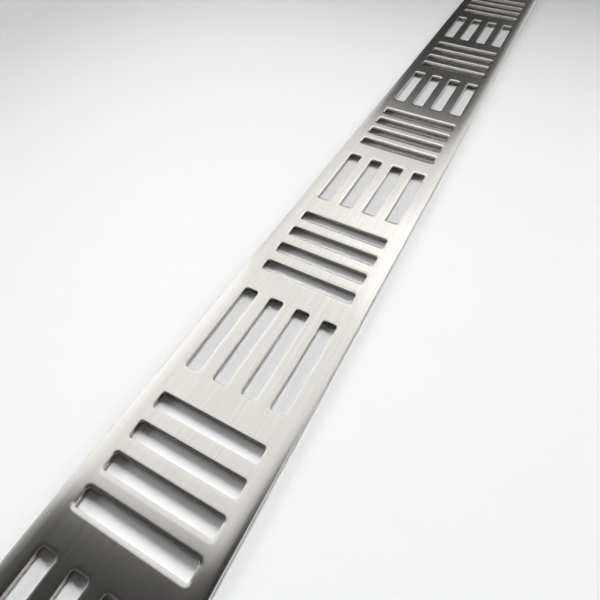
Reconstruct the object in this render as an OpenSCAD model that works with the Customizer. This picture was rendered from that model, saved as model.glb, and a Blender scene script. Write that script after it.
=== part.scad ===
// Linear floor drain grate: one flat steel plate, pierced by square groups of slots that lie
// lengthwise and crosswise by turns. Rubber strips under both long margins carry the plate on
// the ledges of its channel and keep it from rattling.
// X runs along the channel, Y across it, and Z = 0 is the ledge that the strips rest on.

/* [Plate] */
// Length along the channel
plate_l = 700; // [350:1:1200]
// Width across the channel
plate_w = 54.5; // [45:0.5:80]
// Thickness of the steel
plate_t = 2; // [1.5:0.1:5]
// Radius of the four corners, seen from above
corner_r = 3; // [2.2:0.1:8]
// Radius of the rounded upper edge, all the way round
edge_r = 1.2; // [0.5:0.1:1.5]

/* [Slots] */
// Slots in each square group
slots_per_group = 4; // [2:1:5]
// Width of a slot, narrow enough for bare feet
slot_w = 6; // [4:0.1:8]
// Radius of a slot's corners
slot_corner_r = 1.1; // [0.5:0.1:1.9]
// Bevel on the upper rim of every slot
rim_break = 0.6; // [0.1:0.1:0.8]
// Solid margin between the groups and the long edges
margin_w = 7; // [5:0.5:10]
// Solid band between two groups
band_w = 11.5; // [4:0.5:20]
// Least solid length left at each end
end_min = 12; // [6:1:40]

/* [Pads] */
// Rubber strips under each long margin
pads_per_side = 10; // [3:1:12]
// Length of a strip
pad_l = 20; // [8:1:40]
// Height of a strip, which is the gap under the plate
pad_t = 0.5; // [0.3:0.1:2]
// Distance that a strip keeps from the slots and from the long edge
pad_inset = 1; // [0.5:0.1:2]
// Radius of a strip's corners
pad_corner_r = 1.5; // [0.5:0.1:1.9]
// Distance from the end of the plate to the middle of the first strip
pad_end = 30; // [20:1:60]

/* [Hidden] */
$fn = 64;
// How far a cutting shape stands past the face that it cuts
overcut = 0.2;

group_side = plate_w - 2 * margin_w;
bar_w = (group_side - slots_per_group * slot_w) / (slots_per_group - 1);
slot_pitch = slot_w + bar_w;
group_pitch = group_side + band_w;
groups = floor((plate_l - 2 * end_min + band_w) / group_pitch);

pad_w = margin_w - 2 * pad_inset;
pad_y = plate_w / 2 - margin_w / 2;
pad_pitch = (plate_l - 2 * pad_end) / (pads_per_side - 1);

SIDES = ["left", "right"];
function pad_name(side, i) = str("pad_", SIDES[side], "_", i + 1);
function pad_side_y(side) = side == 0 ? pad_y : -pad_y;

// Rectangle with round corners, centred
module rounded_rectangle(l, w, r) {
    square([l - 2 * r, w], center = true);
    square([l, w - 2 * r], center = true);
    for (x = [-1, 1], y = [-1, 1])
        translate([x * (l / 2 - r), y * (w / 2 - r)])
            circle(r);
}

// Half of the plate's section, from its middle out to the rounded upper edge
module edge_section(half_w) {
    intersection() {
        union() {
            square([half_w - edge_r, plate_t]);
            square([half_w, plate_t - edge_r]);
            translate([half_w - edge_r, plate_t - edge_r])
                circle(edge_r);
        }
        square([half_w, plate_t]);
    }
}

// Bar with the plate's section, rounded along both sides, lying along X
module edged_bar(l, w) {
    for (turn = [0, 180])
        rotate([0, 0, turn])
            translate([-l / 2, 0, 0])
                rotate([90, 0, 90])
                    linear_extrude(l)
                        edge_section(w / 2);
}

// Plate before it is pierced, with its upper edge rounded all the way round
module blank() {
    edged_bar(plate_l - 2 * corner_r, plate_w);
    rotate([0, 0, 90])
        edged_bar(plate_w - 2 * corner_r, plate_l);
    for (x = [-1, 1], y = [-1, 1])
        translate([x * (plate_l / 2 - corner_r), y * (plate_w / 2 - corner_r), 0])
            rotate_extrude()
                edge_section(corner_r);
}

// Section of the bevel along a rim, for a slot that is w wide there
module bevel_section(w) {
    low = w / 2;
    high = w / 2 + rim_break + overcut;
    polygon([[-low, 0], [low, 0], [high, rim_break + overcut], [-high, rim_break + overcut]]);
}

// Shape cut out of the plate for one slot, along X
module slot_cut(l, w) {
    r = slot_corner_r;
    translate([0, 0, -overcut])
        linear_extrude(plate_t + 2 * overcut)
            rounded_rectangle(l, w, r);
    translate([0, 0, plate_t - rim_break]) {
        translate([-(l / 2 - r), 0, 0])
            rotate([90, 0, 90])
                linear_extrude(l - 2 * r)
                    bevel_section(w);
        translate([0, w / 2 - r, 0])
            rotate([90, 0, 0])
                linear_extrude(w - 2 * r)
                    bevel_section(l);
        for (x = [-1, 1], y = [-1, 1])
            translate([x * (l / 2 - r), y * (w / 2 - r), 0])
                cylinder(h = rim_break + overcut, r1 = r, r2 = r + rim_break + overcut);
    }
}

// Square group of parallel slots, along X
module slot_group() {
    for (i = [0 : slots_per_group - 1])
        translate([0, (i - (slots_per_group - 1) / 2) * slot_pitch, 0])
            slot_cut(group_side, slot_w);
}

// Stainless plate with its groups of slots, every second group turned crosswise
module grate_plate() {
    color([0.82, 0.81, 0.79])
        translate([0, 0, pad_t])
            difference() {
                blank();
                for (i = [0 : groups - 1])
                    translate([(i - (groups - 1) / 2) * group_pitch, 0, 0])
                        rotate([0, 0, 90 * (i % 2)])
                            slot_group();
            }
}

// Rubber strip, bonded by its upper face to the underside of the plate's margin
module pad(side, i) {
    color([0.13, 0.13, 0.14])
        translate([pad_end - plate_l / 2 + i * pad_pitch, pad_side_y(side), 0])
            linear_extrude(pad_t)
                rounded_rectangle(pad_l, pad_w, pad_corner_r);
}

grate_plate();
for (side = [0, 1], i = [0 : pads_per_side - 1])
    pad(side, i);
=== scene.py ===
import math

import bmesh
import bpy
from mathutils import Matrix, Quaternion, Vector


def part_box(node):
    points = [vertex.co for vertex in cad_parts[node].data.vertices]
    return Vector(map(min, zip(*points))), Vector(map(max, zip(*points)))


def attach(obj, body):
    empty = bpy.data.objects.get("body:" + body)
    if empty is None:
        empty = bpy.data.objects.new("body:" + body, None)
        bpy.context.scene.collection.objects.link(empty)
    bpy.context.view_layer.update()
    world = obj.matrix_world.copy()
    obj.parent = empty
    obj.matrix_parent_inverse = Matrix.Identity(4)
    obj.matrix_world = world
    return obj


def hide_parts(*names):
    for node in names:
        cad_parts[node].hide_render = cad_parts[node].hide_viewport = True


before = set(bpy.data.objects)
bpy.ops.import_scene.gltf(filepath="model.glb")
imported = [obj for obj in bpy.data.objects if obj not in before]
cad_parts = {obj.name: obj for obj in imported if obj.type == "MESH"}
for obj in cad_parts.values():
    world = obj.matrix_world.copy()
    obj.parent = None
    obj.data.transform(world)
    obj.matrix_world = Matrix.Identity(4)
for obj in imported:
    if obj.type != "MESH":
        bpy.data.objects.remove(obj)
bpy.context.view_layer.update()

# Grate plate. One 2 mm stainless steel sheet with a row of square slot groups, lengthwise and crosswise
# by turns. The slots are laser cut, and a soft belt then brushes the face along its length, which wears
# the margins and rims round.
mm = 0.001
plate_low, plate_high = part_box("grate_plate")
plate_length, plate_width = (plate_high - plate_low)[:2]
plate_middle = (plate_low.z + plate_high.z) / 2
corner_radius = 3 * mm
edge_radius = 0.4 * mm
outline_zone = 1.5 * corner_radius
side_margin = 7 * mm
solid_band = 11.5 * mm
least_end = 12 * mm
slots_per_group = 4
slot_width = 6 * mm
slot_corner_radius = 1.1 * mm
rim_wear = 1.5 * mm
rim_flatness = 6.8
lower_rim_break = 0.15 * mm
# Each tilt is added to the margin's slope from that far inside the long edge.
margin_tilts = ((4.4 * mm, 0.0455), (3.3 * mm, 0.0455), (2.2 * mm, 0.05), (1.1 * mm, 0.059))
group_side = plate_width - 2 * side_margin
bar_width = (group_side - slots_per_group * slot_width) / (slots_per_group - 1)
group_pitch = group_side + solid_band
group_count = int((plate_length - 2 * least_end + solid_band) / group_pitch)
group_middles = [(group - (group_count - 1) / 2) * group_pitch for group in range(group_count)]
along = Vector((1, 0, 0))
across = Vector((0, 1, 0))
# A corner turns by more than the sharp turn and a straight run by less than the slight one, in radians.
sharp_turn = 1
slight_turn = 0.1
# How far a face's normal rises: at least this on a level face, at most this on an upright wall.
level_rise = 0.7
upright_rise = 0.1


def split_faces(mesh, faces, axis, place):
    """Cuts those faces along the plane that stands square to axis at place."""
    geometry = list(dict.fromkeys(part for face in faces for part in (face, *face.edges, *face.verts)))
    bmesh.ops.bisect_plane(mesh, geom=geometry, dist=1e-6, plane_co=axis * place, plane_no=axis)


def round_edges(mesh, edges, radius, steps):
    """Rounds those edges off in a number of steps."""
    bmesh.ops.bevel(mesh, geom=edges, offset=radius, offset_type="OFFSET", affect="EDGES",
                    segments=steps, profile=0.5, material=-1, clamp_overlap=False)


def round_corners(mesh, corners, radius, steps):
    """Rounds those corners of a flat outline off in a number of steps."""
    bmesh.ops.bevel(mesh, geom=corners, offset=radius, offset_type="OFFSET", affect="VERTICES",
                    segments=steps, profile=0.5, material=-1, clamp_overlap=False)


def rim_edges(mesh, way, where):
    """The edges between a wall and a face that looks up (1) or down (-1) whose middle passes the test."""
    return [edge for edge in mesh.edges
            if max(face.normal.z * way for face in edge.link_faces) > level_rise
            and edge.calc_face_angle(0) > sharp_turn
            and where((edge.verts[0].co + edge.verts[1].co) / 2)]


def on_side(point):
    """True where a point lies nearer a long edge of the plate than any slot does."""
    return abs(point.y) > plate_width / 2 - outline_zone


def on_end(point):
    """True where a point lies nearer an end of the plate than any slot does."""
    return abs(point.x) > plate_length / 2 - outline_zone


def on_outline(point):
    """True on a long edge or an end."""
    return on_side(point) or on_end(point)


def on_slot(point):
    """True on the slots, away from the outline."""
    return not on_outline(point)


def anywhere(point):
    """True at every point."""
    return True


def in_group(face, middle):
    """True where a face lies in the square slot group around that middle."""
    centre = face.calc_center_median()
    return abs(centre.x - middle) < group_side / 2 and abs(centre.y) < group_side / 2


plate_mesh = bmesh.new()
bmesh.ops.create_grid(plate_mesh, x_segments=1, y_segments=1, size=0.5)
bmesh.ops.scale(plate_mesh, vec=(plate_length, plate_width, 1), verts=plate_mesh.verts)
bmesh.ops.translate(plate_mesh, vec=(0, 0, plate_high.z), verts=plate_mesh.verts)
for side in (-1, 1):
    split_faces(plate_mesh, plate_mesh.faces[:], across, side * group_side / 2)
for middle in group_middles:
    for side in (-1, 1):
        split_faces(plate_mesh, plate_mesh.faces[:], along, middle + side * group_side / 2)
for group, middle in enumerate(group_middles):
    step_axis = across if group % 2 == 0 else along
    start = -group_side / 2 if group % 2 == 0 else middle - group_side / 2
    for slot in range(slots_per_group):
        for place in (start, start + slot_width):
            square = [face for face in plate_mesh.faces if in_group(face, middle)]
            split_faces(plate_mesh, square, step_axis, place)
        waste = [face for face in plate_mesh.faces
                 if in_group(face, middle)
                 and start < face.calc_center_median().dot(step_axis) < start + slot_width]
        bmesh.ops.delete(plate_mesh, geom=waste, context="FACES")
        start += slot_width + bar_width
helping_cuts = [edge for edge in plate_mesh.edges if not edge.is_boundary]
bmesh.ops.delete(plate_mesh, geom=helping_cuts, context="EDGES")
straight = [vert for vert in plate_mesh.verts if vert.calc_edge_angle(0) < slight_turn]
bmesh.ops.dissolve_verts(plate_mesh, verts=straight)
slot_corners = [vert for vert in plate_mesh.verts if on_slot(vert.co)]
round_corners(plate_mesh, slot_corners, slot_corner_radius, steps=6)
plate_corners = [vert for vert in plate_mesh.verts if vert.calc_edge_angle(0) > sharp_turn]
round_corners(plate_mesh, plate_corners, corner_radius, steps=8)
bmesh.ops.triangle_fill(plate_mesh, use_beauty=True, edges=plate_mesh.edges[:])
sheet = bmesh.ops.extrude_face_region(plate_mesh, geom=plate_mesh.faces[:])
lowered = [part for part in sheet["geom"] if isinstance(part, bmesh.types.BMVert)]
bmesh.ops.scale(plate_mesh, vec=(1, 1, 0), space=Matrix.Translation((0, 0, -plate_low.z)), verts=lowered)
bmesh.ops.recalc_face_normals(plate_mesh, faces=plate_mesh.faces)
# The slot rims are rounded on a plate stretched upwards, so that they come out wide and shallow.
bmesh.ops.scale(plate_mesh, vec=(1, 1, rim_flatness), verts=plate_mesh.verts)
round_edges(plate_mesh, rim_edges(plate_mesh, 1, on_slot), rim_wear, steps=8)
bmesh.ops.scale(plate_mesh, vec=(1, 1, 1 / rim_flatness), verts=plate_mesh.verts)
round_edges(plate_mesh, rim_edges(plate_mesh, 1, on_outline), edge_radius, steps=6)
round_edges(plate_mesh, rim_edges(plate_mesh, -1, anywhere), lower_rim_break, steps=2)
# The belt wraps a little round the long margins, so they fall off towards the edges.
for inset, tilt in margin_tilts:
    for side in (-1, 1):
        start = side * (plate_width / 2 - inset)
        split_faces(plate_mesh, plate_mesh.faces[:], across, start)
        lean = Matrix.Identity(4)
        lean[2][1] = -side * tilt
        outer = [vert for vert in plate_mesh.verts
                 if vert.co.y * side > start * side and vert.co.z > plate_middle]
        bmesh.ops.transform(plate_mesh, matrix=lean, space=Matrix.Translation((0, -start, 0)), verts=outer)

# The brushing map lays the face out with U across the plate, so that the shader knows the grain's way.
# The sides are folded out flat, past the face's edges.
brushing = plate_mesh.loops.layers.uv.new("brushing")
for face in plate_mesh.faces:
    face.smooth = True
    slot_wall = abs(face.normal.z) < upright_rise and on_slot(face.calc_center_median())
    face.material_index = 1 if slot_wall else 0
    for loop in face.loops:
        point = loop.vert.co
        fold = plate_high.z - point.z
        side_fold = math.copysign(fold * on_side(point), point.y)
        end_fold = math.copysign(fold * on_end(point), point.x)
        loop[brushing].uv = ((point.y + side_fold) / plate_length + 0.5,
                             (point.x + end_fold) / plate_length + 0.5)


def linear(shade):
    """An sRGB hex colour as linear red, green, blue and alpha."""
    parts = [int(shade[i:i + 2], 16) / 255 for i in (1, 3, 5)]
    return [part / 12.92 if part <= 0.04045 else ((part + 0.055) / 1.055) ** 2.4 for part in parts] + [1]


def add_node(tree, kind, inputs=None, **settings):
    """Adds a node with its settings; inputs gives its sockets a value or another node's output."""
    node = tree.nodes.new(kind)
    for name, value in settings.items():
        setattr(node, name, value)
    for socket, value in (inputs or {}).items():
        if isinstance(value, bpy.types.NodeSocket):
            tree.links.new(value, node.inputs[socket])
        else:
            node.inputs[socket].default_value = value
    return node


def new_material(name):
    """An empty material and its node tree."""
    material = bpy.data.materials.new(name)
    material.use_nodes = True
    material.node_tree.nodes.clear()
    return material, material.node_tree


# Brushed stainless steel: a satin face, with hairlines along the plate that spread each reflection
# across it, and broader stripes where the belt's grit is uneven. A belt's hairlines are about 0.05 mm
# wide, too fine to show, so they are drawn 0.35 mm wide.
hairline_width = 0.35 * mm
hairline_length = 15 * mm
stripe_width = 1.6 * mm
stripe_length = 60 * mm
brushed_steel, tree = new_material("brushed stainless steel")
place = add_node(tree, "ShaderNodeTexCoord")
hairline_scale = (1 / hairline_length, 1 / hairline_width, 1 / hairline_width)
hairline_place = add_node(tree, "ShaderNodeMapping",
                          {"Vector": place.outputs["Object"], "Scale": hairline_scale})
hairlines = add_node(tree, "ShaderNodeTexNoise",
                     {"Vector": hairline_place.outputs[0], "Scale": 1, "Detail": 3, "Roughness": 0.6})
stripe_scale = (1 / stripe_length, 1 / stripe_width, 1 / stripe_width)
stripe_place = add_node(tree, "ShaderNodeMapping",
                        {"Vector": place.outputs["Object"], "Scale": stripe_scale})
stripes = add_node(tree, "ShaderNodeTexNoise",
                   {"Vector": stripe_place.outputs[0], "Scale": 1, "Detail": 2, "Roughness": 0.5})
grain = add_node(tree, "ShaderNodeMix",
                 {"Factor": 0.4, "A": hairlines.outputs["Fac"], "B": stripes.outputs["Fac"]},
                 data_type="FLOAT")
steel_tone = add_node(tree, "ShaderNodeValToRGB", {"Fac": grain.outputs[0]})
steel_tone.color_ramp.elements[0].position = 0.3
steel_tone.color_ramp.elements[0].color = linear("#c9c6c2")
steel_tone.color_ramp.elements[1].position = 0.7
steel_tone.color_ramp.elements[1].color = linear("#d5d3cf")
steel_roughness = add_node(tree, "ShaderNodeMapRange",
                           {"Value": grain.outputs[0], "From Min": 0.3, "From Max": 0.7,
                            "To Min": 0.22, "To Max": 0.26})
scratch = add_node(tree, "ShaderNodeBump",
                   {"Height": hairlines.outputs["Fac"], "Strength": 0.08, "Distance": 0.02 * mm})
grain_way = add_node(tree, "ShaderNodeTangent", direction_type="UV_MAP", uv_map="brushing")
steel = add_node(tree, "ShaderNodeBsdfPrincipled",
                 {"Base Color": steel_tone.outputs[0], "Metallic": 1,
                  "Roughness": steel_roughness.outputs[0], "Anisotropic": 0.8,
                  "Tangent": grain_way.outputs[0], "Normal": scratch.outputs[0]})
add_node(tree, "ShaderNodeOutputMaterial", {"Surface": steel.outputs[0]})

# Laser-cut steel edge: duller and darker than the face, with fine upright drag lines down the wall.
# They lie about 0.2 mm apart, and are drawn 0.35 mm apart to show.
drag_line_width = 0.35 * mm
drag_line_length = 6 * mm
cut_steel, tree = new_material("laser cut stainless edge")
place = add_node(tree, "ShaderNodeTexCoord")
drag_scale = (1 / drag_line_width, 1 / drag_line_width, 1 / drag_line_length)
drag_place = add_node(tree, "ShaderNodeMapping",
                      {"Vector": place.outputs["Object"], "Scale": drag_scale})
drag_lines = add_node(tree, "ShaderNodeTexNoise",
                      {"Vector": drag_place.outputs[0], "Scale": 1, "Detail": 2})
cut_tone = add_node(tree, "ShaderNodeValToRGB", {"Fac": drag_lines.outputs["Fac"]})
cut_tone.color_ramp.elements[0].position = 0.3
cut_tone.color_ramp.elements[0].color = linear("#aea9a3")
cut_tone.color_ramp.elements[1].position = 0.7
cut_tone.color_ramp.elements[1].color = linear("#c0bbb5")
cut_bump = add_node(tree, "ShaderNodeBump",
                    {"Height": drag_lines.outputs["Fac"], "Strength": 0.3, "Distance": 0.05 * mm})
cut_edge = add_node(tree, "ShaderNodeBsdfPrincipled",
                    {"Base Color": cut_tone.outputs[0], "Metallic": 1, "Roughness": 0.25,
                     "Normal": cut_bump.outputs[0]})
add_node(tree, "ShaderNodeOutputMaterial", {"Surface": cut_edge.outputs[0]})


def new_object(name, mesh, *materials):
    """Makes an object of a finished bmesh, with its materials in order."""
    data = bpy.data.meshes.new(name)
    mesh.to_mesh(data)
    mesh.free()
    for material in materials:
        data.materials.append(material)
    made = bpy.data.objects.new(name, data)
    bpy.context.scene.collection.objects.link(made)
    return made


plate = new_object("slotted_plate", plate_mesh, brushed_steel, cut_steel)
sharp_angle = math.radians(50)
plate.data.set_sharp_from_angle(angle=sharp_angle)
level_faces = plate.modifiers.new("level faces stay level", "WEIGHTED_NORMAL")
level_faces.keep_sharp = True
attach(plate, "root")
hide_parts("grate_plate")

# Rubber strips. Twenty short strips of black EPDM rubber under the two long margins, die cut from sheet
# with an adhesive back and pressed on by hand. They keep the plate from rattling on its channel's ledges.
strip_corner_radius = 1.5 * mm
strip_edge_radius = 0.15 * mm
rubber_grain = 0.3 * mm


def upright_edges(mesh):
    """The corners between two upright walls."""
    return [edge for edge in mesh.edges
            if abs(edge.verts[0].co.z - edge.verts[1].co.z) > 0.01 * mm
            and edge.calc_face_angle(0) > sharp_turn]


# Black EPDM rubber, die cut: matt, with a faint grey bloom in grains of about 0.3 mm.
strip_rubber, tree = new_material("die cut epdm rubber")
place = add_node(tree, "ShaderNodeTexCoord")
rubber_scale = (1 / rubber_grain, 1 / rubber_grain, 1 / rubber_grain)
rubber_place = add_node(tree, "ShaderNodeMapping",
                        {"Vector": place.outputs["Object"], "Scale": rubber_scale})
bloom = add_node(tree, "ShaderNodeTexNoise",
                 {"Vector": rubber_place.outputs[0], "Scale": 1, "Detail": 3})
rubber_tone = add_node(tree, "ShaderNodeValToRGB", {"Fac": bloom.outputs["Fac"]})
rubber_tone.color_ramp.elements[0].position = 0.35
rubber_tone.color_ramp.elements[0].color = linear("#1b1b1c")
rubber_tone.color_ramp.elements[1].position = 0.75
rubber_tone.color_ramp.elements[1].color = linear("#303032")
rubber_bump = add_node(tree, "ShaderNodeBump",
                       {"Height": bloom.outputs["Fac"], "Strength": 0.4, "Distance": 0.05 * mm})
rubber = add_node(tree, "ShaderNodeBsdfPrincipled",
                  {"Base Color": rubber_tone.outputs[0], "Roughness": 0.75, "IOR": 1.52,
                   "Normal": rubber_bump.outputs[0]})
add_node(tree, "ShaderNodeOutputMaterial", {"Surface": rubber.outputs[0]})
for node in sorted(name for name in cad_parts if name.startswith("pad_")):
    strip_low, strip_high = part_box(node)
    strip_mesh = bmesh.new()
    bmesh.ops.create_cube(strip_mesh, size=1)
    bmesh.ops.scale(strip_mesh, vec=strip_high - strip_low, verts=strip_mesh.verts)
    bmesh.ops.translate(strip_mesh, vec=(strip_low + strip_high) / 2, verts=strip_mesh.verts)
    round_edges(strip_mesh, upright_edges(strip_mesh), strip_corner_radius, steps=6)
    round_edges(strip_mesh, rim_edges(strip_mesh, -1, anywhere), strip_edge_radius, steps=3)
    for face in strip_mesh.faces:
        face.smooth = True
    strip = new_object(node.replace("pad", "rubber_strip"), strip_mesh, strip_rubber)
    strip.data.set_sharp_from_angle(angle=sharp_angle)
    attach(strip, "root")
    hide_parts(node)

# Table top. A wide matt white laminate board that the grate lies on for its picture, at the height of
# the ledges. From a third of a metre or so away from the grate's middle it fades into a white backdrop.
table_reach = 15
fade_start = 0.3
fade_end = 0.6
table_mesh = bmesh.new()
bmesh.ops.create_grid(table_mesh, x_segments=1, y_segments=1, size=table_reach)

# Matt white laminate: an even white without gloss, which takes soft shadows and mirrors nothing.
table_white, tree = new_material("matt white laminate")
board = add_node(tree, "ShaderNodeBsdfDiffuse", {"Color": linear("#f6f6f7")})
backdrop = add_node(tree, "ShaderNodeEmission", {"Color": linear("#ffffff"), "Strength": 1})
place = add_node(tree, "ShaderNodeTexCoord")
distance = add_node(tree, "ShaderNodeVectorMath", {0: place.outputs["Object"]}, operation="LENGTH")
fade = add_node(tree, "ShaderNodeMapRange",
                {"Value": distance.outputs["Value"], "From Min": fade_start, "From Max": fade_end},
                interpolation_type="SMOOTHSTEP")
ray = add_node(tree, "ShaderNodeLightPath")
seen = add_node(tree, "ShaderNodeMath", {0: ray.outputs["Is Camera Ray"], 1: ray.outputs["Is Glossy Ray"]},
                operation="MAXIMUM")
seen = add_node(tree, "ShaderNodeMath", {0: seen.outputs[0], 1: ray.outputs["Is Transmission Ray"]},
                operation="MAXIMUM")
share = add_node(tree, "ShaderNodeMath", {0: fade.outputs[0], 1: seen.outputs[0]}, operation="MULTIPLY")
table_look = add_node(tree, "ShaderNodeMixShader",
                      {0: share.outputs[0], 1: board.outputs[0], 2: backdrop.outputs[0]})
add_node(tree, "ShaderNodeOutputMaterial", {"Surface": table_look.outputs[0]})
table = new_object("table_top", table_mesh, table_white)


# Studio light. In a white room, soft boxes light the plate and are mirrored in it, and keys and a strip
# light only the table. A dark canopy, wall and flag by the camera and a dark card past the far end are
# mirrored by the steel too.
def new_card(name, shade, corner, along_edge, up_edge):
    """A flat card from a corner and its two edges, seen by light and reflections but not by the camera."""
    card_mesh = bmesh.new()
    first = card_mesh.verts.new(corner)
    edge = bmesh.ops.extrude_vert_indiv(card_mesh, verts=[first])["edges"]
    bmesh.ops.translate(card_mesh, vec=along_edge, verts=[edge[0].other_vert(first)])
    lifted = bmesh.ops.extrude_edge_only(card_mesh, edges=edge)["geom"]
    lifted_corners = [part for part in lifted if isinstance(part, bmesh.types.BMVert)]
    bmesh.ops.translate(card_mesh, vec=up_edge, verts=lifted_corners)

    # Matt paint on card: one even tone without gloss.
    paint, tree = new_material(name + " paint")
    matt = add_node(tree, "ShaderNodeBsdfDiffuse", {"Color": linear(shade)})
    add_node(tree, "ShaderNodeOutputMaterial", {"Surface": matt.outputs[0]})
    card = new_object(name, card_mesh, paint)
    card.visible_camera = False
    return card


new_card("black_canopy", "#4a4a4a", corner=(-0.185, -0.5, 0.9),
         along_edge=(-0.12, 1.4, 0), up_edge=(-0.27, 0, -0.264))
near_wall = new_card("grey_wall", "#909090", corner=(-0.455, -0.5, 0.636),
                     along_edge=(-0.12, 1.4, 0), up_edge=(-0.63, 0, -0.616))
new_card("black_flag", "#4a4a4a", corner=(-0.19, 0, 0.895),
         along_edge=(0.55, -0.5, 0), up_edge=(-0.6, -0.4, 0))
far_card = new_card("dark_card", "#686868", corner=(0.95, -0.05, 0.01),
                    along_edge=(0, 0.5, 0), up_edge=(0, 0, 0.58))
near_wall.visible_diffuse = False
far_card.visible_diffuse = False
far_card.visible_shadow = False


def new_soft_box(name, place, aim, width, height, radiance, mirrored=True, spread=180):
    """An area lamp of even brightness, aimed at a point, that steel mirrors or doesn't."""
    lamp = bpy.data.lights.new(name, "AREA")
    lamp.shape = "RECTANGLE"
    lamp.size = width
    lamp.size_y = height
    # The watts that Blender needs for a lamp of that brightness and size.
    lamp.energy = 4 * radiance * width * height
    lamp.spread = math.radians(spread)
    box = bpy.data.objects.new(name, lamp)
    box.location = place
    box.rotation_euler = (Vector(aim) - Vector(place)).to_track_quat("-Z", "Y").to_euler()
    box.visible_camera = False
    box.visible_glossy = mirrored
    bpy.context.scene.collection.objects.link(box)


new_soft_box("soft_box_over", place=(0.6, 0.35, 1.0), aim=(0.6, 0.35, 0),
             width=1.7, height=1.5, radiance=0.165)
new_soft_box("soft_box_hot", place=(0.55, -0.07, 0.75), aim=(-0.156, 0, 0),
             width=0.65, height=0.28, radiance=0.4)
new_soft_box("soft_box_left", place=(0.05, 0.8, 0.5), aim=(-0.2, 0, 0),
             width=0.7, height=0.6, radiance=0.48)
new_soft_box("soft_box_right", place=(0.7, -0.5, 0.5), aim=(0, 0, 0),
             width=0.6, height=0.5, radiance=0.5)
new_soft_box("key_far", place=(0.9, 0.05, 0.75), aim=(-0.36, -0.03, 0),
             width=0.5, height=0.5, radiance=0.32, mirrored=False, spread=20)
new_soft_box("key_high", place=(0.716, 0.05, 0.87), aim=(-0.36, -0.03, 0),
             width=0.55, height=0.55, radiance=0.47, mirrored=False, spread=20)
new_soft_box("key_left", place=(-0.1, 1.3, 0.55), aim=(-0.2, 0.1, 0),
             width=0.7, height=0.5, radiance=0.9, mirrored=False, spread=60)
new_soft_box("strip_right", place=(0.575, -0.864, 0.41), aim=(-0.28, 0, 0),
             width=0.7, height=0.3, radiance=1.0, mirrored=False, spread=60)
room = bpy.data.worlds.new("white room")
bpy.context.scene.world = room
room.use_nodes = True
tree = room.node_tree
tree.nodes.clear()
ray = add_node(tree, "ShaderNodeLightPath")
seen = add_node(tree, "ShaderNodeMath", {0: ray.outputs["Is Camera Ray"], 1: ray.outputs["Is Glossy Ray"]},
                operation="MAXIMUM")
seen = add_node(tree, "ShaderNodeMath", {0: seen.outputs[0], 1: ray.outputs["Is Transmission Ray"]},
                operation="MAXIMUM")
walls = add_node(tree, "ShaderNodeBackground", {"Color": linear("#ffffff"), "Strength": seen.outputs[0]})
add_node(tree, "ShaderNodeOutputWorld", {"Surface": walls.outputs[0]})

# Camera. It stands close over the near half of the plate and looks along it, a little from the right,
# through a wide lens and rolled by a fraction of a degree, as for the photograph.
camera_place = Vector((-0.27664, -0.05103, 0.13840))
camera_aim = Vector((-0.18367, -0.00197, 0.0025))
camera_roll = Quaternion((0, 0, 1), math.radians(0.38))
camera_data = bpy.data.cameras.new("camera")
camera_data.sensor_width = 36
camera_data.lens = 26.32
camera_data.clip_start = 0.005
camera = bpy.data.objects.new("camera", camera_data)
camera.location = camera_place
camera_turn = (camera_aim - camera_place).to_track_quat("-Z", "Y") @ camera_roll
camera.rotation_euler = camera_turn.to_euler()
bpy.context.scene.collection.objects.link(camera)
bpy.context.scene.camera = camera
bpy.context.scene.view_settings.view_transform = "Standard"
